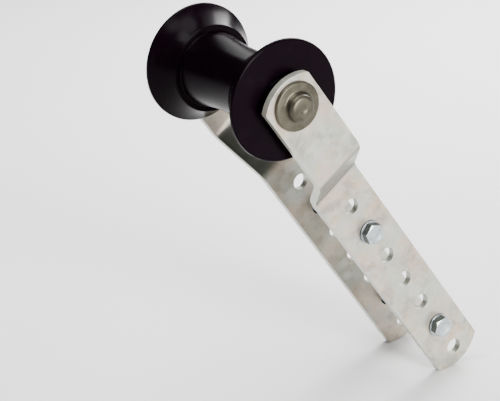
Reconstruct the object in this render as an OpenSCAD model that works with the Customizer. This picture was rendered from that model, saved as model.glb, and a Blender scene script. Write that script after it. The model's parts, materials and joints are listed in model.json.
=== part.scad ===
// Bow roller for a boat trailer: a black rubber roller on a steel spindle, carried by two
// joggled flat-bar arms that are bolted together across a box-section beam.
//
// Frame: X runs along the beam, Y along the roller's spindle, Z up. The origin is the centre
// of the arms' middle hole, halfway between the two arms. The near arm is on the -Y side.

/* [Arms] */
// Width of the flat bar
arm_w = 38; // [34:1:44]
// Thickness of the flat bar
arm_t = 5; // [4:0.5:6]
// Clear width between the two lower flats, which grip the beam
grip_w = 51; // [50:1:80]
// Sideways step from a lower flat to the upper flat of the same arm
joggle = 30; // [30:1:40]
// Angle of the sloping web between the two bends
bend_angle = 45; // [35:5:60]
// Inside radius of each bend
bend_r = 12; // [6:1:14]
// Radius of the curved ends of the arms
end_r = 28; // [24:1:40]
// Radius of the corners where a curved end meets the straight edges
corner_r = 2.5; // [1:0.5:5]
// Lean of the arms from upright, towards -X
lean = 32; // [0:1:34]
// Height of the lower bend above the middle hole, along the arm
lower_bend = 100; // [95:1:110]
// Height of the spindle above the middle hole, along the arm
spindle_height = 187; // [180:1:200]
// Arm left above the spindle's centre
top_margin = 18; // [18:0.5:26]
// Arm left below the lowest hole's centre
bottom_margin = 13; // [9:0.5:16]

/* [Adjusting holes] */
// Distance from one hole to the next
pitch = 25.4; // [22:0.1:26]
// Diameter of each hole
hole_d = 11; // [9:0.5:12]
// Number of holes each side of the middle one
holes_each_way = 3; // [2:1:3]
// Which hole each side of the middle one takes a clamp bolt
bolt_hole = 2; // [1:1:2]

/* [Roller] */
// Diameter over the flange rims
rim_d = 77; // [70:1:84]
// Length over the flanges' outer faces
roller_l = 98; // [90:1:98]
// Diameter at the waist
waist_d = 43; // [38:1:46]
// Diameter of the barrel where it meets a flange
neck_d = 49; // [46:1:51]
// Diameter of the step where a flange starts
step_d = 56.5; // [54:0.5:60]
// Length of the barrel between the steps
barrel_l = 59; // [50:1:62]
// Thickness of a flange at its rim
rim_t = 2.6; // [2:0.1:5]
// Radius of a flange's hollow inner face
flare_r = 45; // [30:1:80]
// Diameter of the hub that stands out of each flange
hub_d = 31; // [28:1:36]
// How far each hub stands out of its flange
hub_out = 4; // [2:0.5:4]
// Diameter of the moulded bore
bore_d = 21; // [20:0.5:24]

/* [Spindle] */
// Diameter of the spindle
spindle_d = 16; // [14:1:18]
// How far the spindle stands out of each arm
spindle_out = 7; // [6:0.5:9]
// Diametral clearance of the spindle in the arms and bushes
spindle_play = 0.12; // [0.04:0.02:0.18]
// Length of a bush inside the roller
bush_l = 24; // [12:1:30]
// Thickness of a bush's flange
bush_flange_t = 1.5; // [1:0.1:1.7]

/* [Push-on caps] */
// Diameter of a cap
cap_d = 31.5; // [28:0.5:36]
// Thickness of a cap's sheet metal
cap_sheet = 0.8; // [0.5:0.1:1]
// Height of a cap's flat ring above the arm
cap_ring_h = 2.4; // [2:0.1:3]

/* [Clamp bolts] */
// Thread diameter
bolt_d = 8; // [6:1:8]
// Width across the flats of heads and nuts
hex_af = 13; // [11:0.5:14]
// Height of a bolt head
head_h = 5.3; // [4:0.1:6]
// Turn of the upper bolt on its line
upper_turn = 42; // [0:1:59]
// Turn of the lower bolt on its line
lower_turn = 17; // [0:1:59]
// Height of a nut
nut_h = 6.5; // [5:0.1:7]
// Diameter of the flat washers
washer_d = 16; // [14:0.5:20]
// Thickness of the flat washers
washer_t = 1.6; // [1:0.1:2]
// Diameter of the spring washers
spring_d = 14.4; // [12:0.1:16]
// Thickness of the spring washers
spring_t = 2; // [1.5:0.1:2.5]

/* [Hidden] */

// Facets round a full circle: most circles, the roller and the arms' ends, and long arcs
$fn = 64;
fine_fn = 128;
arc_fn = 256;
// How far joined shapes run into each other
eps = 0.01;
// How far a cutting shape runs past the faces that it cuts
cut = 1;
// How far a rounding arc stands proud, so that it crosses its neighbours cleanly
proud = 0.003;

// Colours of the materials
galvanised_colour = "gainsboro";
rubber_colour = [0.06, 0.06, 0.07];
nylon_colour = "dimgray";
spindle_colour = "silver";
cap_colour = [0.52, 0.49, 0.44];
spring_steel_colour = "slategray";
bolt_colour = "lightsteelblue";
washer_colour = "lightslategray";

// Sideways places, measured from the middle plane
lower_face = grip_w / 2;
upper_face = lower_face + joggle;
arm_back = upper_face + arm_t;

// Places along an arm, measured from the middle hole
bend_mid_r = bend_r + arm_t / 2;
bend_run = bend_mid_r * tan(bend_angle / 2);
bend_offset = arm_t / 2 * tan(bend_angle / 2);
upper_bend = lower_bend + joggle / tan(bend_angle);
arm_top = spindle_height + top_margin;
arm_bottom = -holes_each_way * pitch - bottom_margin;

// Roller places along the spindle, measured from the middle plane
step_y = barrel_l / 2;
rim_y = roller_l / 2;
flare_y = rim_y - rim_t;
hub_y = rim_y + hub_out;
rim_edge_r = 1;

// Bushes, lock rings and caps
bush_flange_w = 3;
bush_inner_r = (spindle_d + spindle_play) / 2;
ring_gap = 0.3;
lock_sheet = 0.6;
lock_play = 0.1;
lock_d = cap_d - 2 * cap_sheet - lock_play;
lock_teeth = 6;
lock_slot_w = 1.2;
lock_tooth_l = 2.6;
cap_side_gap = 0.1;
cap_end_gap = 0.5;
cap_boss_d = spindle_d + 2 * (cap_side_gap + cap_sheet);
cap_boss_h = spindle_out - ring_gap + cap_end_gap + cap_sheet;
cap_edge_r = 1.2;
cap_boss_edge_r = 2.6;
cap_dimple_r = 2.2;
cap_dimple_depth = 0.4;

// Fasteners
washer_play = 0.4;
washer_hole_d = bolt_d + washer_play;
hex_corner_d = hex_af / cos(30);
chamfer_rise = (hex_corner_d - hex_af) / 2 * tan(30);
bolt_tip = 1;
spindle_chamfer = 1.5;
spring_cut_w = 1.2;
spring_cut_tilt = 20;
flat_washer_y = -lower_face - arm_t - washer_t;
nut_washer_y = lower_face + arm_t;
spring_washer_y = nut_washer_y + washer_t;
nut_y = spring_washer_y + spring_t;

// Bolts come in steps of length, and stand out of their nuts by at least a little
bolt_l_step = 10;
least_out = 3;
bolt_l = bolt_l_step * ceil((nut_y + nut_h + least_out - flat_washer_y) / bolt_l_step);

// ---- Outlines and profiles ----

// A flat rectangle with rounded corners, from [0, 0] to [w, h]
module rounded_rect(w, h, r) {
    translate([r, 0]) square([w - 2 * r, h]);
    translate([0, r]) square([w, h - 2 * r]);
    for (x = [r, w - r], y = [r, h - r])
        translate([x, y]) circle(r);
}

// What to cut from a corner to round it with an arc of radius r about c. The arc meets the
// corner's sides at a and b, and the piece runs past the corner.
module corner_piece(c, r, corner, a, b) {
    past = corner + cut * (corner - c) / norm(corner - c);
    difference() {
        polygon([a, past, b]);
        translate(c) circle(r + proud);
    }
}

// What eases one corner of an arm's curved end, for an end arc centred on the origin
module end_corner_piece() {
    c = [arm_w / 2 - corner_r, sqrt(pow(end_r - corner_r, 2) - pow(arm_w / 2 - corner_r, 2))];
    corner = [arm_w / 2, sqrt(pow(end_r, 2) - pow(arm_w / 2, 2))];
    corner_piece(c, corner_r, corner, [arm_w / 2, c[1]], c * end_r / (end_r - corner_r));
}

// Front view of an arm: a strip with a large arc at each end and eased corners
module arm_outline() {
    top_centre = arm_top - end_r;
    bottom_centre = arm_bottom + end_r;
    difference() {
        intersection() {
            translate([-arm_w / 2, arm_bottom - cut])
                square([arm_w, arm_top - arm_bottom + 2 * cut]);
            union() {
                translate([0, top_centre]) circle(end_r, $fn = fine_fn);
                translate([0, bottom_centre]) circle(end_r, $fn = fine_fn);
                translate([-arm_w, bottom_centre]) square([2 * arm_w, top_centre - bottom_centre]);
            }
        }
        for (side = [0, 1]) mirror([side, 0]) {
            translate([0, top_centre]) end_corner_piece();
            translate([0, bottom_centre]) mirror([0, 1]) end_corner_piece();
        }
    }
}

// Where a bend of radius r about c ends, for a bend that starts to one side of c (-1 or 1)
function bend_end(c, r, side) = c + side * r * [cos(bend_angle), -sin(bend_angle)];

// What to cut from the outside of a bend of radius r about c, which starts to one side of c
module bend_piece(c, r, side) {
    corner = c + side * r * [1, -tan(bend_angle / 2)];
    corner_piece(c, r, corner, c + [side * r, 0], bend_end(c, r, side));
}

// Side view of an arm: x is outwards from the beam, y is up the arm. The strip is drawn with a
// sharp corner outside each bend and a chord inside it, and then cut to the bend's arcs.
module arm_profile() {
    lower_centre = [arm_t + bend_r, lower_bend - bend_run];
    upper_centre = [joggle - bend_r, upper_bend + bend_run];
    difference() {
        polygon([
            [0, arm_bottom - cut],
            [arm_t, arm_bottom - cut],
            [arm_t, lower_centre[1]],
            bend_end(lower_centre, bend_r, -1),
            [joggle + arm_t, upper_bend - bend_offset],
            [joggle + arm_t, arm_top + cut],
            [joggle, arm_top + cut],
            [joggle, upper_centre[1]],
            bend_end(upper_centre, bend_r, 1),
            [0, lower_bend + bend_offset],
        ]);
        translate(lower_centre) circle(bend_r + proud);
        translate(upper_centre) circle(bend_r + proud);
        bend_piece(lower_centre, bend_r + arm_t, -1);
        bend_piece(upper_centre, bend_r + arm_t, 1);
    }
}

// ---- Placing ----

// Leans its children with the arms
module leaned() {
    rotate([0, -lean, 0]) children();
}

// Puts a piece made along +Z on the spindle's line, pointing outwards on one side (-1 or 1)
module on_spindle(side, out) {
    leaned() translate([0, side * out, spindle_height]) rotate([-90 * side, 0, 0]) children();
}

// Puts a piece made along +Z on a bolt's line, pointing towards +Y from a place y
module on_bolt(level, y) {
    leaned() translate([0, y, level * bolt_hole * pitch]) rotate([-90, 0, 0]) children();
}

// ---- Arms ----

// An arm that steps outwards along +Y, with the inner face of its lower flat at y = 0
module arm() {
    difference() {
        intersection() {
            rotate([90, 0, 90])
                linear_extrude(height = arm_w + 2 * cut, center = true) arm_profile();
            translate([0, joggle + arm_t + cut, 0]) rotate([90, 0, 0])
                linear_extrude(height = joggle + arm_t + 2 * cut) arm_outline();
        }
        for (i = [-holes_each_way : holes_each_way])
            translate([0, -cut, i * pitch]) rotate([-90, 0, 0])
                cylinder(d = hole_d, h = arm_t + 2 * cut);
        translate([0, joggle - cut, spindle_height]) rotate([-90, 0, 0])
            cylinder(d = spindle_d + spindle_play, h = arm_t + 2 * cut);
    }
}

module near_arm() {
    color(galvanised_colour) leaned() translate([0, -lower_face, 0]) mirror([0, 1, 0]) arm();
}

module far_arm() {
    color(galvanised_colour) leaned() translate([0, lower_face, 0]) arm();
}

// ---- Roller ----

// Centre of an arc of radius r through p and q, on the right of the way from p to q
function arc_centre(p, q, r) =
    let (mid = (p + q) / 2, way = q - p, half = norm(way) / 2)
    mid + [way[1], -way[0]] / (2 * half) * sqrt(r * r - half * half);

// Half of the roller's section: x is the radius, y runs from the middle plane to one end
module roller_half_section() {
    rise = (neck_d - waist_d) / 2;
    waist_arc_r = (step_y * step_y + rise * rise) / (2 * rise);
    flare_centre = arc_centre([step_d / 2, step_y], [rim_d / 2, flare_y], flare_r);
    difference() {
        union() {
            translate([0, -rim_y]) rounded_rect(rim_d / 2, roller_l, rim_edge_r);
            square([hub_d / 2, hub_y]);
        }
        translate([-rim_d, -2 * rim_y]) square([2 * rim_d, 2 * rim_y]);
        translate([-eps, -eps]) square([bore_d / 2 + eps, hub_y + cut]);
        intersection() {
            translate([waist_d / 2 + waist_arc_r, 0]) circle(waist_arc_r, $fn = arc_fn);
            translate([0, -cut]) square([rim_d, step_y + cut]);
        }
        intersection() {
            translate(flare_centre) circle(flare_r, $fn = arc_fn);
            translate([step_d / 2 - cut, step_y - eps]) square([rim_d, rim_y - step_y]);
        }
    }
}

module roller_body() {
    color(rubber_colour) on_spindle(1, 0)
        rotate_extrude($fn = fine_fn) {
            roller_half_section();
            mirror([0, 1]) roller_half_section();
        }
}

// A bush whose flange sits on a hub at z = 0
module bush() {
    rotate_extrude() {
        translate([bush_inner_r, -bush_l])
            square([bore_d / 2 - bush_inner_r, bush_l + bush_flange_t]);
        translate([bush_inner_r, 0])
            square([bore_d / 2 + bush_flange_w - bush_inner_r, bush_flange_t]);
    }
}

module near_bush() {
    color(nylon_colour) on_spindle(-1, hub_y) bush();
}

module far_bush() {
    color(nylon_colour) on_spindle(1, hub_y) bush();
}

// ---- Spindle and its push-on caps ----

module spindle() {
    half_l = arm_back + spindle_out;
    color(spindle_colour) on_spindle(1, 0)
        rotate_extrude()
            polygon([
                [0, -half_l],
                [spindle_d / 2 - spindle_chamfer, -half_l],
                [spindle_d / 2, -half_l + spindle_chamfer],
                [spindle_d / 2, half_l - spindle_chamfer],
                [spindle_d / 2 - spindle_chamfer, half_l],
                [0, half_l],
            ]);
}

// Spring-steel ring whose teeth grip the spindle
module lock_ring() {
    difference() {
        cylinder(d = lock_d, h = lock_sheet);
        translate([0, 0, -cut]) cylinder(d = spindle_d, h = lock_sheet + 2 * cut);
        for (i = [0 : lock_teeth - 1])
            rotate(i * 360 / lock_teeth)
                translate([0, -lock_slot_w / 2, -cut])
                    cube([spindle_d / 2 + lock_tooth_l, lock_slot_w, lock_sheet + 2 * cut]);
    }
}

// Section of a cap's outside, drawn inwards by inset: a flat ring with a raised boss
module cap_section(inset) {
    ring_r = cap_d / 2 - inset;
    boss_r = cap_boss_d / 2 - inset;
    intersection() {
        union() {
            translate([-ring_r, -cap_ring_h])
                rounded_rect(2 * ring_r, 2 * cap_ring_h - inset, cap_edge_r - inset / 2);
            translate([-boss_r, -cap_boss_h])
                rounded_rect(2 * boss_r, 2 * cap_boss_h - inset, cap_boss_edge_r - inset / 2);
        }
        square([cap_d, cap_boss_h]);
    }
}

module cap() {
    rotate_extrude()
        difference() {
            cap_section(0);
            translate([-eps, -eps]) cap_section(cap_sheet);
            translate([-eps, cap_boss_h - cap_dimple_depth])
                square([cap_dimple_r + eps, cap_dimple_depth + cut]);
        }
}

module near_lock_ring() {
    color(spring_steel_colour) on_spindle(-1, arm_back + ring_gap) lock_ring();
}

module far_lock_ring() {
    color(spring_steel_colour) on_spindle(1, arm_back + ring_gap) lock_ring();
}

module near_cap() {
    color(cap_colour) on_spindle(-1, arm_back + ring_gap) cap();
}

module far_cap() {
    color(cap_colour) on_spindle(1, arm_back + ring_gap) cap();
}

// ---- Clamp bolts ----

// A hexagon prism from z = 0 to h, with its top corners chamfered
module chamfered_hex(h) {
    intersection() {
        cylinder(d = hex_corner_d, h = h, $fn = 6);
        union() {
            cylinder(d = hex_corner_d + cut, h = h - chamfer_rise);
            translate([0, 0, h - chamfer_rise])
                cylinder(d1 = hex_corner_d, d2 = hex_af, h = chamfer_rise);
        }
    }
}

// A bolt with the underside of its head at z = 0 and its shank along +Z
module bolt() {
    mirror([0, 0, 1]) chamfered_hex(head_h);
    rotate_extrude()
        polygon([
            [0, -eps],
            [bolt_d / 2, -eps],
            [bolt_d / 2, bolt_l - bolt_tip],
            [bolt_d / 2 - bolt_tip, bolt_l],
            [0, bolt_l],
        ]);
}

module nut() {
    difference() {
        chamfered_hex(nut_h);
        translate([0, 0, -cut]) cylinder(d = bolt_d, h = nut_h + 2 * cut);
    }
}

module flat_washer() {
    difference() {
        cylinder(d = washer_d, h = washer_t);
        translate([0, 0, -cut]) cylinder(d = washer_hole_d, h = washer_t + 2 * cut);
    }
}

// A spring washer, drawn flat as it is when tightened, with its slanting cut
module spring_washer() {
    difference() {
        cylinder(d = spring_d, h = spring_t);
        translate([0, 0, -cut]) cylinder(d = washer_hole_d, h = spring_t + 2 * cut);
        translate([0, 0, spring_t / 2]) rotate([spring_cut_tilt, 0, 0])
            translate([0, -spring_cut_w / 2, -spring_t])
                cube([spring_d, spring_cut_w, 2 * spring_t]);
    }
}

module upper_bolt() {
    color(bolt_colour) on_bolt(1, flat_washer_y) rotate(upper_turn) bolt();
}

module lower_bolt() {
    color(bolt_colour) on_bolt(-1, flat_washer_y) rotate(lower_turn) bolt();
}

module upper_flat_washer() {
    color(washer_colour) on_bolt(1, flat_washer_y) flat_washer();
}

module lower_flat_washer() {
    color(washer_colour) on_bolt(-1, flat_washer_y) flat_washer();
}

module upper_nut_washer() {
    color(washer_colour) on_bolt(1, nut_washer_y) flat_washer();
}

module lower_nut_washer() {
    color(washer_colour) on_bolt(-1, nut_washer_y) flat_washer();
}

module upper_spring_washer() {
    color(spring_steel_colour) on_bolt(1, spring_washer_y) spring_washer();
}

module lower_spring_washer() {
    color(spring_steel_colour) on_bolt(-1, spring_washer_y) spring_washer();
}

module upper_nut() {
    color(bolt_colour) on_bolt(1, nut_y) nut();
}

module lower_nut() {
    color(bolt_colour) on_bolt(-1, nut_y) nut();
}

near_arm();
far_arm();
roller_body();
near_bush();
far_bush();
spindle();
near_lock_ring();
far_lock_ring();
near_cap();
far_cap();
upper_bolt();
lower_bolt();
upper_flat_washer();
lower_flat_washer();
upper_nut_washer();
lower_nut_washer();
upper_spring_washer();
lower_spring_washer();
upper_nut();
lower_nut();
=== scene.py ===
"""The looks of a boat trailer's bow roller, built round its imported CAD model.

Sizes are in metres. X runs along the beam, Y along the roller's spindle and Z up.
"""

import json
import math

import bmesh
import bpy
from mathutils import Matrix, Vector


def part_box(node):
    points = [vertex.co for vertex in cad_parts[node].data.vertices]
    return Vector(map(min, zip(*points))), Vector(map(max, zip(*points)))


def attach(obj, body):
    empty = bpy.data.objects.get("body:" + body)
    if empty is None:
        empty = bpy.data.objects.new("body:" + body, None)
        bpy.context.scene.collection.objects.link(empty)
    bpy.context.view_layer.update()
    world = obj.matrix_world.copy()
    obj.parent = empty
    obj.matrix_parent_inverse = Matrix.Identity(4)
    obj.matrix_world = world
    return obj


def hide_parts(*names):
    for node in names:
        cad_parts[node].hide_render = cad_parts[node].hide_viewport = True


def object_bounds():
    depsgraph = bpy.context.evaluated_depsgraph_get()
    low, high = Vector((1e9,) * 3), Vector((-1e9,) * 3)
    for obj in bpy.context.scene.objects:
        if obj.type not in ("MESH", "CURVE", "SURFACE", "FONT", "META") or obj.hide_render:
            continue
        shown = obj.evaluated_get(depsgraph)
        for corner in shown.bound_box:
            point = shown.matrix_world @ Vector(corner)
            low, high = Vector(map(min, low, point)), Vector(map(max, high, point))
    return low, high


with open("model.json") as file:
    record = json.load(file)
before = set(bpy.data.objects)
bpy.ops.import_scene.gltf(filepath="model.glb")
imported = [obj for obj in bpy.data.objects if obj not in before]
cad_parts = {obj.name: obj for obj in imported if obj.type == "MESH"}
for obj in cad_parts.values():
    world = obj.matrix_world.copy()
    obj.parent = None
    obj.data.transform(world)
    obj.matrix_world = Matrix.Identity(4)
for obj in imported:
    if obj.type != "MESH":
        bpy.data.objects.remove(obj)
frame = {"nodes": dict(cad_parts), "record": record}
cad_low, cad_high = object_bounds()

MM = 0.001

# Which way along Y each side lies from the middle
SIDES = {"near": -1, "far": 1}
LEVELS = ("upper", "lower")

# The middle of the spindle, and how far the arms lean from upright towards -X
AXLE = Vector(frame["record"]["behaviour"]["joints"][0]["pos_m"])
LEAN = math.atan2(-AXLE.x, AXLE.z)

# ---- The arms ----
ARM_EDGE_ROUND = 0.7 * MM

# ---- The roller: radii, and distances from its middle ----
WAIST_R = 21.5 * MM
NECK_R = 24.5 * MM
STEP_R = 28.25 * MM
STEP_Y = 29.5 * MM
RIM_Y = 49 * MM
RIM_T = 2.6 * MM
FLARE_R = 45 * MM
HUB_R = 15.5 * MM
BORE_R = 10.5 * MM
NECK_ROUND = 0.9 * MM
STEP_ROUND = 0.8 * MM
RIM_INNER_ROUND = 0.6 * MM
RIM_OUTER_ROUND = 1.1 * MM
HUB_FOOT_ROUND = 1.2 * MM
HUB_ROUND = 0.5 * MM
BORE_ROUND = 0.4 * MM
BARREL_STEPS = 24
FLARE_STEPS = 20

# ---- The bushes ----
BUSH_FLANGE_T = 1.5 * MM
BUSH_INNER_R = 8.06 * MM
BUSH_LEAD_ROUND = 0.6 * MM
BUSH_FLANGE_ROUND = 0.2 * MM
BUSH_FACE_ROUND = 0.5 * MM
BUSH_MOUTH_ROUND = 0.4 * MM

# ---- The caps: a flat ring, and a boss whose crown has a shallow dimple ----
CAP_SHEET = 0.8 * MM
CAP_RING_H = 2.4 * MM
CAP_BOSS_R = 8.9 * MM
CAP_BOSS_TAPER = 0.3 * MM
CAP_DIMPLE = 0.45 * MM
CAP_DIMPLE_R = 1.4 * MM
CAP_CREST_R = 3.0 * MM
CAP_CROWN_GAP = 0.4 * MM
CAP_DIMPLE_ROUND = 0.8 * MM
CAP_CREST_ROUND = 1.2 * MM
CAP_CROWN_ROUND = 3.0 * MM
CAP_FOOT_ROUND = 1.8 * MM
CAP_RIM_ROUND = 1.3 * MM
CAP_INNER_RIM_ROUND = 0.5 * MM
CAP_INNER_FOOT_ROUND = 0.3 * MM
CAP_INNER_CROWN_ROUND = 1.8 * MM

# ---- The bolts and nuts ----
BOLT_R = 4 * MM
THREAD_PITCH = 1.25 * MM
THREAD_DEPTH = 0.7 * MM
THREAD_L = 26 * MM
TIP_L = 1.2 * MM
TIP_STEP = 0.2 * MM
HEX_AF = 13 * MM
HEX_FACE_SHARE = 0.96
HEX_CHAMFER = math.radians(30)
HEAD_H = 5.3 * MM
HEAD_DISH = 0.25 * MM
DISH_INNER_R = 4.2 * MM
DISH_OUTER_R = 4.7 * MM
HEAD_COLLAR = 2 * MM
HEAD_TURN = {"upper": math.radians(42), "lower": math.radians(17)}
NUT_LEAD = 0.5 * MM

# ---- The washers ----
WASHER_HOLE_R = 4.2 * MM
WASHER_HOLE_ROUND = 0.25 * MM
WASHER_BURR_ROUND = 0.1 * MM
WASHER_RIM_ROUND = 0.5 * MM
SPRING_BEVEL = 0.25 * MM
SPRING_GAP = math.radians(10)
SPRING_SLANT = math.radians(9)
SPRING_STEPS = 90


# ---- Places and sizes of CAD nodes ----


def length_of(node):
    """A node's length along Y."""
    low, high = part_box(node)
    return high.y - low.y


def radius_of(node):
    """The radius of a node that is round about Y."""
    low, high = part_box(node)
    return (high.x - low.x) / 2


def inner_end(node, out):
    """Where the spindle's line meets the end of a node that is nearer the middle."""
    low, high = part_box(node)
    return Vector((AXLE.x, low.y if out > 0 else high.y, AXLE.z))


def near_end(node):
    """Where a fastener's own line meets its -Y end."""
    low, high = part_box(node)
    middle = (low + high) / 2
    return Vector((middle.x, low.y, middle.z))


def place_on_y(origin, out, turn=0.0):
    """Puts a piece made along +Z on a line through origin, pointing along +Y or -Y as out says."""
    return (
        Matrix.Translation(origin)
        @ Matrix.Rotation(math.radians(-90 * out), 4, "X")
        @ Matrix.Rotation(turn, 4, "Z")
    )


# ---- Meshes ----


def new_object(name, mesh, sharp_angle=32):
    """An object with smooth shading everywhere but at its sharp edges."""
    mesh.polygons.foreach_set("use_smooth", [True] * len(mesh.polygons))
    mesh.set_sharp_from_angle(angle=math.radians(sharp_angle))
    obj = bpy.data.objects.new(name, mesh)
    bpy.context.scene.collection.objects.link(obj)
    return obj


def even_normals(obj):
    """Keeps wide flat faces flat where they meet a narrow rounded edge."""
    weighted = obj.modifiers.new("even_normals", "WEIGHTED_NORMAL")
    weighted.keep_sharp = True
    weighted.weight = 80


def skin(bm, rows):
    """Faces from each closed row of points to the next. A row may be one point repeated."""
    for low, high in zip(rows, rows[1:]):
        for k in range(len(low)):
            n = (k + 1) % len(low)
            corners = list(dict.fromkeys((low[k], low[n], high[n], high[k])))
            bm.faces.new(corners)


def object_from(bm, name, place):
    """The finished object, with its faces turned outwards and put in place."""
    bmesh.ops.recalc_face_normals(bm, faces=bm.faces)
    bm.transform(place)
    mesh = bpy.data.meshes.new(name)
    bm.to_mesh(mesh)
    bm.free()
    return new_object(name, mesh)


def turned(name, rings, place, segments, loop=False):
    """A surface made of rings round the local Z axis.

    A ring is (radius, height), or a function of the angle that gives them. A ring of radius 0 is a
    single point. With loop the last ring joins the first; otherwise the surface ends in points.
    """
    bm = bmesh.new()
    rows = []
    for ring in rings:
        at = ring if callable(ring) else (lambda angle, ring=ring: ring)
        row = []
        for k in range(segments):
            angle = 2 * math.pi * k / segments
            radius, height = at(angle)
            if radius == 0:
                row = [bm.verts.new((0, 0, height))] * segments
                break
            row.append(bm.verts.new((radius * math.cos(angle), radius * math.sin(angle), height)))
        rows.append(row)
    if loop:
        rows.append(rows[0])
    skin(bm, rows)
    return object_from(bm, name, place)


def rounded(points, radii, steps=4):
    """The points of an open line with each inner corner rounded by its radius, 0 for a sharp one."""
    line = [Vector(p) for p in points]
    made = [line[0]]
    for before, corner, after, radius in zip(line, line[1:], line[2:], radii):
        if radius == 0:
            made.append(corner)
            continue
        start = (before - corner).normalized()
        end = (after - corner).normalized()
        half = start.angle(end) / 2
        reach = min(radius / math.tan(half), (before - corner).length / 2, (after - corner).length / 2)
        radius = reach * math.tan(half)
        centre = corner + (start + end).normalized() * (radius / math.sin(half))
        a = corner + start * reach - centre
        b = corner + end * reach - centre
        for k in range(steps + 1):
            made.append(centre + radius * a.slerp(b, k / steps))
    made.append(line[-1])
    return [tuple(p) for p in made]


def arc(start, end, radius, steps):
    """Points from start to end on an arc whose centre is on the right of the way."""
    start = Vector(start)
    end = Vector(end)
    way = end - start
    depth = math.sqrt(radius**2 - (way.length / 2) ** 2)
    centre = (start + end) / 2 + Vector((way.y, -way.x)).normalized() * depth
    a = start - centre
    b = end - centre
    return [tuple(centre + radius * a.slerp(b, k / steps)) for k in range(steps + 1)]


def copied_with_round_edges(name, node, width):
    """A copy of a CAD node with its sharp edges rounded, and those edges marked for a painted
    highlight.
    """
    same_point = 0.001 * MM
    same_plane = math.radians(0.3)
    sharp_from = math.radians(35)
    bm = bmesh.new()
    bm.from_mesh(frame["nodes"][node].data)
    painted_highlight_edges = bm.faces.layers.float.new("painted_highlight_edges")
    bmesh.ops.remove_doubles(bm, verts=bm.verts, dist=same_point)
    bmesh.ops.dissolve_limit(bm, angle_limit=same_plane, verts=bm.verts, edges=bm.edges)
    sharp = [e for e in bm.edges if e.is_manifold and e.calc_face_angle() > sharp_from]
    made = bmesh.ops.bevel(
        bm, geom=sharp, offset=width, segments=3, profile=0.5, affect="EDGES",
        clamp_overlap=True,
    )
    # Marks the rounding's faces to be painted lighter, as a painted highlight
    for face in made["faces"]:
        face[painted_highlight_edges] = 1
    mesh = bpy.data.meshes.new(name)
    bm.to_mesh(mesh)
    bm.free()
    obj = new_object(name, mesh, 40)
    even_normals(obj)
    return obj


# ---- Materials ----


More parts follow.
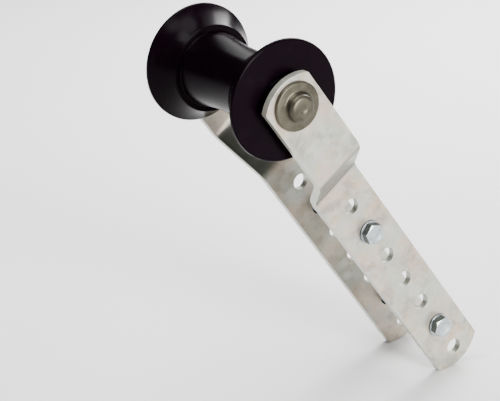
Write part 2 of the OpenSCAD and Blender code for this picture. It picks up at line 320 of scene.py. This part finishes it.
class Finish:
    """A material: one Principled shader and the nodes that feed it."""

    def __init__(self, name, **constant):
        """constant names the shader's sockets, with _ for a space, and their values."""
        self.material = bpy.data.materials.new(name)
        self.material.use_nodes = True
        self.nodes = self.material.node_tree.nodes
        self.links = self.material.node_tree.links
        self.shader = next(n for n in self.nodes if n.type == "BSDF_PRINCIPLED")
        for socket, value in constant.items():
            self.shader.inputs[socket.replace("_", " ")].default_value = value
        self.place = self.nodes.new("ShaderNodeTexCoord").outputs["Object"]
        self.normal = None

    def feed(self, socket, value):
        """Gives a socket another node's output, or a constant."""
        if isinstance(value, bpy.types.NodeSocket):
            self.links.new(value, socket)
        else:
            socket.default_value = value

    def noise(self, scale, detail=3, roughness=0.5, stretch=(1, 1, 1)):
        """A noise from 0 to 1, with scale in waves to the metre."""
        node = self.nodes.new("ShaderNodeTexNoise")
        mapping = self.nodes.new("ShaderNodeMapping")
        mapping.inputs["Scale"].default_value = stretch
        self.links.new(self.place, mapping.inputs["Vector"])
        self.links.new(mapping.outputs["Vector"], node.inputs["Vector"])
        node.inputs["Scale"].default_value = scale
        node.inputs["Detail"].default_value = detail
        node.inputs["Roughness"].default_value = roughness
        return node.outputs["Fac"]

    def cells(self, scale):
        """Crystal-like cells, each with a grey of its own."""
        node = self.nodes.new("ShaderNodeTexVoronoi")
        self.links.new(self.place, node.inputs["Vector"])
        node.inputs["Scale"].default_value = scale
        grey = self.nodes.new("ShaderNodeRGBToBW")
        self.links.new(node.outputs["Color"], grey.inputs["Color"])
        return grey.outputs["Val"]

    def squareness(self):
        """1 on faces square to the Y axis, down to 0 on faces that run along it."""
        normal = self.nodes.new("ShaderNodeTexCoord").outputs["Normal"]
        parts = self.nodes.new("ShaderNodeSeparateXYZ")
        self.links.new(normal, parts.inputs["Vector"])
        size = self.nodes.new("ShaderNodeMath")
        size.operation = "ABSOLUTE"
        self.links.new(parts.outputs["Y"], size.inputs[0])
        return size.outputs["Value"]

    def product(self, a, b):
        """One value times another."""
        node = self.nodes.new("ShaderNodeMath")
        node.operation = "MULTIPLY"
        self.links.new(a, node.inputs[0])
        self.links.new(b, node.inputs[1])
        return node.outputs["Value"]

    def marked(self, name):
        """A value that the mesh holds for each of its faces."""
        node = self.nodes.new("ShaderNodeAttribute")
        node.attribute_name = name
        return node.outputs["Fac"]

    def between(self, value, low, high, to_low=0.0, to_high=1.0):
        """value taken from the range low..high to the range to_low..to_high, and kept in it."""
        node = self.nodes.new("ShaderNodeMapRange")
        node.interpolation_type = "SMOOTHSTEP"
        node.inputs["From Min"].default_value = low
        node.inputs["From Max"].default_value = high
        node.inputs["To Min"].default_value = to_low
        node.inputs["To Max"].default_value = to_high
        self.links.new(value, node.inputs["Value"])
        return node.outputs["Result"]

    def sum(self, *terms, start=0.0):
        """start plus the sum of (value, share) terms."""
        total = start
        for value, share in terms:
            node = self.nodes.new("ShaderNodeMath")
            node.operation = "MULTIPLY_ADD"
            self.links.new(value, node.inputs[0])
            node.inputs[1].default_value = share
            self.feed(node.inputs[2], total)
            total = node.outputs["Value"]
        return total

    def mix(self, share, a, b):
        """Colour a where share is 0, and b where it is 1."""
        node = self.nodes.new("ShaderNodeMix")
        node.data_type = "RGBA"
        self.feed(node.inputs["Factor"], share)
        for key, colour in (("A", a), ("B", b)):
            socket = next(s for s in node.inputs if s.name == key and s.type == "RGBA")
            self.feed(socket, colour if not isinstance(colour, tuple) else (*colour, 1))
        return next(s for s in node.outputs if s.type == "RGBA")

    def colour(self, value):
        self.feed(self.shader.inputs["Base Color"], value)

    def roughness(self, value):
        self.feed(self.shader.inputs["Roughness"], value)

    def bump(self, height, depth):
        """Raises the surface by height times depth, in metres, on top of any earlier bump."""
        node = self.nodes.new("ShaderNodeBump")
        node.inputs["Strength"].default_value = 1
        node.inputs["Distance"].default_value = depth
        self.links.new(height, node.inputs["Height"])
        if self.normal:
            self.links.new(self.normal, node.inputs["Normal"])
        self.normal = node.outputs["Normal"]
        self.feed(self.shader.inputs["Normal"], self.normal)


def galvanised():
    """Hot-dip zinc: a faint crystal pattern and cool and warm patches.

    It has painted shade on the webs between the bends, and painted highlights on the sheared sides and
    the rounded edges.
    """
    greenish = (0.37, 0.39, 0.335)
    reddish = (0.47, 0.375, 0.285)
    stained = (0.25, 0.235, 0.20)
    bright_crystal = (0.52, 0.50, 0.46)
    # Painted shade for the webs between the bends
    painted_shade_web = (0.12, 0.13, 0.11)
    # Painted highlights for the sheared sides and the rounded edges
    painted_highlight_side = (0.42, 0.44, 0.39)
    edge_highlight_colour = (0.50, 0.52, 0.48)
    f = Finish("galvanised_steel", Metallic=0.55)
    crystal = f.cells(190)
    patches = f.noise(75, 5, 0.65)
    tint = f.noise(34, 3, 0.6)
    grain = f.noise(900, 3, 0.6)
    zinc = f.mix(f.between(tint, 0.38, 0.6), greenish, reddish)
    zinc = f.mix(f.between(patches, 0.42, 0.68, 0, 0.8), zinc, stained)
    zinc = f.mix(f.between(crystal, 0.2, 0.8, 0, 0.35), zinc, bright_crystal)
    # The flats have a squareness of 1, the webs about 0.7 and the sheared sides 0
    square = f.squareness()
    off_the_flats = f.between(square, 0.85, 0.97, 0.9, 0)
    off_the_sides = f.between(square, 0.3, 0.5)
    # Painted shade: the webs between the bends are painted dark
    zinc = f.mix(f.product(off_the_flats, off_the_sides), zinc, painted_shade_web)
    # Painted highlight: the sheared sides are painted lighter
    zinc = f.mix(f.between(square, 0.1, 0.3, 0.6, 0), zinc, painted_highlight_side)
    # Painted highlight: the rounded edges are painted lighter
    f.colour(f.mix(f.marked("painted_highlight_edges"), zinc, edge_highlight_colour))
    f.roughness(f.sum((f.between(crystal, 0.2, 0.8, 0.26, 0.38), 1), (patches, 0.1)))
    f.bump(f.sum((patches, 1), (grain, 0.12)), 0.12 * MM)
    return f.material


def rubber():
    """Smooth moulded black rubber: a soft gloss, faint ripples and a little dust."""
    clean = (0.0026, 0.0008, 0.0022)
    dusty = (0.007, 0.0045, 0.0065)
    f = Finish("black_rubber", Specular_IOR_Level=0.032)
    dust = f.noise(60, 6, 0.7)
    ripple = f.noise(120, 2)
    f.colour(f.mix(f.between(dust, 0.5, 0.8, 0, 0.4), clean, dusty))
    f.roughness(f.between(dust, 0.3, 0.8, 0.2, 0.28))
    f.bump(ripple, 0.04 * MM)
    f.bump(f.noise(1500, 2), 0.002 * MM)
    return f.material


def nylon():
    """Moulded black nylon with a fine satin grain."""
    dark = (0.012, 0.012, 0.013)
    light = (0.03, 0.03, 0.032)
    f = Finish("black_nylon", Specular_IOR_Level=0.4)
    grain = f.noise(700, 3)
    f.colour(f.mix(grain, dark, light))
    f.roughness(f.between(grain, 0.3, 0.7, 0.38, 0.52))
    f.bump(grain, 0.02 * MM)
    return f.material


def bright_steel():
    """Cold-drawn steel bar, streaked along its length."""
    dark = (0.42, 0.42, 0.43)
    light = (0.58, 0.58, 0.59)
    f = Finish("bright_steel", Metallic=1.0)
    drawn = f.noise(300, 3, 0.6, stretch=(1, 0.04, 1))
    f.colour(f.mix(drawn, dark, light))
    f.roughness(f.between(drawn, 0.3, 0.7, 0.24, 0.36))
    f.bump(drawn, 0.01 * MM)
    return f.material


def cap_steel():
    """Dull passivated pressed steel, stained towards olive and brown."""
    dark = (0.045, 0.040, 0.028)
    light = (0.084, 0.076, 0.054)
    f = Finish("passivated_steel", Metallic=0.8)
    stain = f.noise(110, 5, 0.65)
    fine = f.noise(700, 3)
    f.colour(f.mix(f.between(stain, 0.3, 0.7), dark, light))
    f.roughness(f.sum((stain, 0.25), (fine, 0.2), start=0.2))
    f.bump(f.sum((stain, 1), (fine, 0.2)), 0.04 * MM)
    return f.material


def zinc_plate():
    """Bright zinc plating with a blue-white cast, with painted shade on the sides that run along the
    bolt.
    """
    dark = (0.33, 0.37, 0.385)
    light = (0.47, 0.51, 0.52)
    # The dark colour of the painted shade on the sides
    side = (0.05, 0.062, 0.054)
    f = Finish("zinc_plate", Metallic=0.9)
    cloud = f.noise(260, 4, 0.6)
    fine = f.noise(1600, 2)
    plated = f.mix(f.between(cloud, 0.3, 0.7), dark, light)
    # Painted shade: the sides that run along the bolt are painted dark
    f.colour(f.mix(f.between(f.squareness(), 0.2, 0.6, 0.85, 0), plated, side))
    f.roughness(f.between(cloud, 0.3, 0.7, 0.26, 0.4))
    f.bump(f.sum((cloud, 1), (fine, 0.3)), 0.02 * MM)
    return f.material


def spring_steel():
    """Hardened steel with a thin, cloudy plating."""
    dark = (0.20, 0.21, 0.21)
    light = (0.38, 0.39, 0.39)
    f = Finish("spring_steel", Metallic=0.9)
    cloud = f.noise(300, 4, 0.6)
    f.colour(f.mix(cloud, dark, light))
    f.roughness(f.between(cloud, 0.3, 0.7, 0.32, 0.48))
    f.bump(cloud, 0.02 * MM)
    return f.material


def floor_paint():
    """Matt white paint with faint clouds."""
    dark = (0.90, 0.90, 0.90)
    light = (0.92, 0.92, 0.92)
    f = Finish("floor_paint", Roughness=0.9, Specular_IOR_Level=0.0)
    f.colour(f.mix(f.noise(2, 2), dark, light))
    return f.material


# The finish of each material slot in the record
FINISHES = {
    "galvanised": galvanised(),
    "roller": rubber(),
    "bush": nylon(),
    "spindle": bright_steel(),
    "cap": cap_steel(),
    "zinc_plate": zinc_plate(),
    "spring_steel": spring_steel(),
}


def coat(obj, slot):
    """Gives obj one material: the finish of the slot that is given."""
    obj.data.materials.clear()
    obj.data.materials.append(FINISHES[slot])


def settle(obj, node, body, slot):
    """Makes obj stand for a CAD node: its finish, the node that it hides and its body."""
    coat(obj, slot)
    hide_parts(node)
    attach(obj, body)


# ---- The object's pieces ----


def make_arms():
    for side in SIDES:
        node = f"{side}_arm"
        arm = copied_with_round_edges(f"{node}_rounded", node, ARM_EDGE_ROUND)
        settle(arm, node, "frame", "galvanised")


def roller_side():
    """Half of the roller's outline, from the waist to near the middle of the bore.

    A point is (radius, distance from the middle). The roundings at the flare's two ends take the
    place of its end points.
    """
    rim_r = radius_of("roller_body")
    hub_y = length_of("roller_body") / 2
    step = (STEP_R, STEP_Y)
    inner_rim = (rim_r, RIM_Y - RIM_T)
    rise = NECK_R - WAIST_R
    waist_arc_r = (STEP_Y**2 + rise**2) / (2 * rise)
    barrel = []
    for k in range(BARREL_STEPS):
        y = STEP_Y * k / BARREL_STEPS
        barrel.append((WAIST_R + waist_arc_r - math.sqrt(waist_arc_r**2 - y * y), y))
    flare = arc(step, inner_rim, FLARE_R, FLARE_STEPS)
    lip = rounded([barrel[-1], (NECK_R, STEP_Y), step, flare[2]], [NECK_ROUND, STEP_ROUND])
    outside = rounded(
        [
            flare[-2], inner_rim, (rim_r, RIM_Y), (HUB_R, RIM_Y),
            (HUB_R, hub_y), (BORE_R, hub_y), (BORE_R, 0),
        ],
        [RIM_INNER_ROUND, RIM_OUTER_ROUND, HUB_FOOT_ROUND, HUB_ROUND, BORE_ROUND],
    )
    return barrel[:-1] + lip + flare[3:-2] + outside[:-1]


def make_roller():
    half = roller_side()
    whole = half + [(r, -y) for r, y in reversed(half[1:])]
    roller = turned("roller_moulding", whole, place_on_y(AXLE, 1), 192, loop=True)
    settle(roller, "roller_body", "roller", "roller")


def make_bushes():
    """The flanged bushes, each made from its inner end out to its flange's face."""
    for side, out in SIDES.items():
        node = f"{side}_bush"
        length = length_of(node)
        flange_r = radius_of(node)
        flange_y = length - BUSH_FLANGE_T
        section = [
            (BUSH_INNER_R, 0), (BORE_R, 0), (BORE_R, flange_y), (flange_r, flange_y),
            (flange_r, length), (BUSH_INNER_R, length), (BUSH_INNER_R, length / 2),
        ]
        roundings = [BUSH_LEAD_ROUND, 0, BUSH_FLANGE_ROUND, BUSH_FACE_ROUND, BUSH_MOUTH_ROUND]
        place = place_on_y(inner_end(node, out), out)
        bush = turned(
            f"{side}_flanged_bush", rounded(section, roundings), place, 96, loop=True
        )
        settle(bush, node, "roller", "bush")


def make_caps():
    """The push-on caps: a pressed ring with a raised, slightly dimpled crown."""
    for side, out in SIDES.items():
        node = f"{side}_cap"
        height = length_of(node)
        ring_r = radius_of(node)
        dimple_y = height - CAP_DIMPLE
        outside = rounded(
            [
                (0, dimple_y), (CAP_DIMPLE_R, dimple_y), (CAP_CREST_R, height),
                (CAP_BOSS_R - CAP_BOSS_TAPER, height), (CAP_BOSS_R, CAP_RING_H),
                (ring_r, CAP_RING_H), (ring_r, 0), (ring_r - CAP_SHEET, 0),
            ],
            [
                CAP_DIMPLE_ROUND, CAP_CREST_ROUND, CAP_CROWN_ROUND, CAP_FOOT_ROUND,
                CAP_RIM_ROUND, 0,
            ],
        )
        inner_r = ring_r - CAP_SHEET
        inner_boss_r = CAP_BOSS_R - CAP_SHEET
        under_ring = CAP_RING_H - CAP_SHEET
        under_crown = height - CAP_SHEET - CAP_CROWN_GAP
        inside = rounded(
            [
                (inner_r, 0), (inner_r, under_ring), (inner_boss_r, under_ring),
                (inner_boss_r, under_crown), (0, under_crown),
            ],
            [CAP_INNER_RIM_ROUND, CAP_INNER_FOOT_ROUND, CAP_INNER_CROWN_ROUND],
        )
        place = place_on_y(inner_end(node, out), out)
        cap = turned(f"{side}_pressed_cap", outside + inside[1:], place, 128)
        settle(cap, node, "spindle", "cap")


def hex_radius(angle):
    """How far a hexagon's side is from its middle, in the direction of angle."""
    sixth = math.pi / 3
    return HEX_AF / 2 / math.cos((angle % sixth) - sixth / 2)


def hex_rings(height, chamfer_top):
    """The rings of a hexagon prism from 0 to height. Its end at 0 is turned to a chamfer."""
    face_r = HEX_FACE_SHARE * HEX_AF / 2

    def drop(angle):
        return (hex_radius(angle) - face_r) * math.tan(HEX_CHAMFER)

    rings = [(face_r, 0), lambda a: (hex_radius(a), drop(a))]
    if chamfer_top:
        return rings + [lambda a: (hex_radius(a), height - drop(a)), (face_r, height)]
    return rings + [lambda a: (hex_radius(a), height)]


def thread_rings(start, end):
    """Rings that follow a helical thread from start to end. It deepens over its first turns."""
    rings_per_turn = 8
    runout = 1.5 * THREAD_PITCH
    flank_slope = 1.35
    root_width = 0.2
    count = round((end - start) / THREAD_PITCH * rings_per_turn)

    def ring(height, depth):
        def at(angle):
            turn = (height / THREAD_PITCH - angle / (2 * math.pi)) % 1
            crest = min(1, max(0, flank_slope * abs(2 * turn - 1) - root_width))
            return (BOLT_R - depth * (1 - crest), height)
        return at

    rings = []
    for k in range(count + 1):
        height = start + (end - start) * k / count
        rings.append(ring(height, THREAD_DEPTH * min(1, (height - start) / runout)))
    return rings


def make_bolts():
    """Hexagon bolts, each made from its head's dished face, at 0, to its tip."""
    for level in LEVELS:
        node = f"{level}_bolt"
        length = length_of(node)
        thread_start = length - THREAD_L
        rings = [(0, HEAD_DISH), (DISH_INNER_R, HEAD_DISH), (DISH_OUTER_R, 0)]
        rings += hex_rings(HEAD_H, chamfer_top=False)
        rings += [(BOLT_R, HEAD_H), (BOLT_R, HEAD_H + HEAD_COLLAR), (BOLT_R, thread_start)]
        rings += thread_rings(thread_start, length - TIP_L)
        rings += [(BOLT_R - THREAD_DEPTH - TIP_STEP, length), (0, length)]
        place = place_on_y(near_end(node), 1, HEAD_TURN[level] - LEAN)
        bolt = turned(f"{level}_hex_bolt", rings, place, 72)
        settle(bolt, node, "frame", "zinc_plate")


def make_nuts():
    for level in LEVELS:
        node = f"{level}_nut"
        height = length_of(node)
        rings = [(BOLT_R, NUT_LEAD), (BOLT_R + NUT_LEAD, 0)]
        rings += hex_rings(height, chamfer_top=True)
        rings += [(BOLT_R + NUT_LEAD, height), (BOLT_R, height - NUT_LEAD)]
        place = place_on_y(near_end(node), 1, -LEAN)
        nut = turned(f"{level}_hex_nut", rings, place, 72, loop=True)
        settle(nut, node, "frame", "zinc_plate")


def make_flat_washers():
    """Stamped washers. Each outline starts and ends on the wall of the hole."""
    for level in LEVELS:
        for kind in ("flat_washer", "nut_washer"):
            node = f"{level}_{kind}"
            thick = length_of(node)
            outer_r = radius_of(node)
            line = rounded(
                [
                    (WASHER_HOLE_R, 0.5 * thick), (WASHER_HOLE_R, 0), (outer_r, 0),
                    (outer_r, thick), (WASHER_HOLE_R, thick), (WASHER_HOLE_R, 0.6 * thick),
                ],
                [WASHER_BURR_ROUND, WASHER_HOLE_ROUND, WASHER_RIM_ROUND, WASHER_HOLE_ROUND],
            )
            place = place_on_y(near_end(node), 1)
            washer = turned(f"{node}_stamped", line, place, 96, loop=True)
            settle(washer, node, "frame", "zinc_plate")


def bevelled_square(inner_r, outer_r, thick, bevel):
    """The corners of a square section with bevelled edges, as (radius, height)."""
    return [
        (inner_r, bevel), (inner_r + bevel, 0), (outer_r - bevel, 0), (outer_r, bevel),
        (outer_r, thick - bevel), (outer_r - bevel, thick), (inner_r + bevel, thick),
        (inner_r, thick - bevel),
    ]


def make_spring_washers():
    """A square-section coil of not quite one turn, cut on a slant."""
    for level in LEVELS:
        node = f"{level}_spring_washer"
        thick = length_of(node)
        corners = bevelled_square(WASHER_HOLE_R, radius_of(node), thick, SPRING_BEVEL)
        bm = bmesh.new()
        rows = []
        for k in range(SPRING_STEPS + 1):
            base = SPRING_GAP / 2 + (2 * math.pi - SPRING_GAP) * k / SPRING_STEPS
            row = []
            for radius, height in corners:
                angle = base + SPRING_SLANT * (height / thick - 0.5)
                row.append(bm.verts.new((radius * math.cos(angle), radius * math.sin(angle), height)))
            rows.append(row)
        skin(bm, rows)
        bm.faces.new(rows[0])
        bm.faces.new(rows[-1])
        washer = object_from(bm, f"{node}_coil", place_on_y(near_end(node), 1, -LEAN))
        settle(washer, node, "frame", "spring_steel")


def finish_hidden_nodes():
    """The spindle and the lock rings keep their CAD shapes."""
    coat(frame["nodes"]["spindle"], "spindle")
    for side in SIDES:
        coat(frame["nodes"][f"{side}_lock_ring"], "spring_steel")


make_arms()
make_roller()
make_bushes()
make_caps()
make_bolts()
make_nuts()
make_flat_washers()
make_spring_washers()
finish_hidden_nodes()

# ---- The room ----

VIEW_AZIMUTH = -32.6
VIEW_ELEVATION = 23.6
VIEW_ROLL = -4.08
LENS = 145.5
SENSOR = 36
CAMERA_PLACE = Vector((-0.7340, -0.9950, 0.5925))
FLOOR_REACH = 14


def direction(azimuth, elevation):
    """The way from the object at those angles, in degrees. Azimuth 0 is -Y and 90 is +X."""
    a = math.radians(azimuth)
    e = math.radians(elevation)
    return Vector((math.sin(a) * math.cos(e), -math.cos(a) * math.cos(e), math.sin(e)))


def make_floor():
    """A wide pale floor at the height of the object's lowest point."""
    bm = bmesh.new()
    for x, y in ((-1, -1), (1, -1), (1, 1), (-1, 1)):
        bm.verts.new((x * FLOOR_REACH, y * FLOOR_REACH, cad_low.z))
    bm.faces.new(bm.verts)
    mesh = bpy.data.meshes.new("studio_floor")
    bm.to_mesh(mesh)
    bm.free()
    floor = bpy.data.objects.new("studio_floor", mesh)
    bpy.context.scene.collection.objects.link(floor)
    floor.data.materials.append(floor_paint())


def softbox(name, azimuth, elevation, distance, side, glow):
    """A square light of that side that faces the object from that direction and distance.

    glow is how bright its face looks, where a white wall in full light is about 1.
    """
    target = (cad_low + cad_high) / 2
    away = direction(azimuth, elevation)
    light = bpy.data.lights.new(name, "AREA")
    light.shape = "SQUARE"
    light.size = side
    light.energy = glow * side**2 * math.pi
    obj = bpy.data.objects.new(name, light)
    obj.location = target + away * distance
    obj.rotation_mode = "QUATERNION"
    obj.rotation_quaternion = (-away).to_track_quat("-Z", "Y")
    obj.visible_camera = False
    bpy.context.scene.collection.objects.link(obj)


def overhead_light(energy, angle):
    """Light from straight above, from a disc that looks angle degrees wide."""
    light = bpy.data.lights.new("overhead", "SUN")
    light.energy = energy
    light.angle = math.radians(angle)
    obj = bpy.data.objects.new("overhead", light)
    bpy.context.scene.collection.objects.link(obj)


def make_air(strength):
    """A faint even white light from all round."""
    world = bpy.data.worlds.new("studio_air")
    world.use_nodes = True
    background = world.node_tree.nodes["Background"]
    background.inputs["Color"].default_value = (1, 1, 1, 1)
    background.inputs["Strength"].default_value = strength
    bpy.context.scene.world = world


def make_lights():
    """A low light in front, high ones on the left, and small ones behind on the right."""
    softbox("front", azimuth=5, elevation=12, distance=4.8, side=1.5, glow=74)
    softbox("left_high", azimuth=-45, elevation=65, distance=2.8, side=0.9, glow=9)
    softbox("side_high", azimuth=-110, elevation=65, distance=2.8, side=0.9, glow=14)
    softbox("right_floor", azimuth=120, elevation=30, distance=1.1, side=0.5, glow=22)
    softbox("back", azimuth=155, elevation=30, distance=1.1, side=0.5, glow=3.6)
    softbox("back_high", azimuth=120, elevation=52, distance=1.1, side=0.5, glow=3)
    overhead_light(energy=1.8, angle=30)
    make_air(0.02)


def make_camera():
    camera = bpy.data.objects.new("camera", bpy.data.cameras.new("camera"))
    camera.data.lens = LENS
    camera.data.sensor_width = SENSOR
    camera.data.clip_start = 0.05
    camera.data.clip_end = 60
    camera.location = CAMERA_PLACE
    ahead = -direction(VIEW_AZIMUTH, VIEW_ELEVATION)
    level = ahead.to_track_quat("-Z", "Y").to_matrix().to_4x4()
    turn = level @ Matrix.Rotation(math.radians(VIEW_ROLL), 4, "Z")
    camera.rotation_mode = "QUATERNION"
    camera.rotation_quaternion = turn.to_quaternion()
    bpy.context.scene.collection.objects.link(camera)
    bpy.context.scene.camera = camera


make_floor()
make_lights()
make_camera()

bpy.context.view_layer.update()
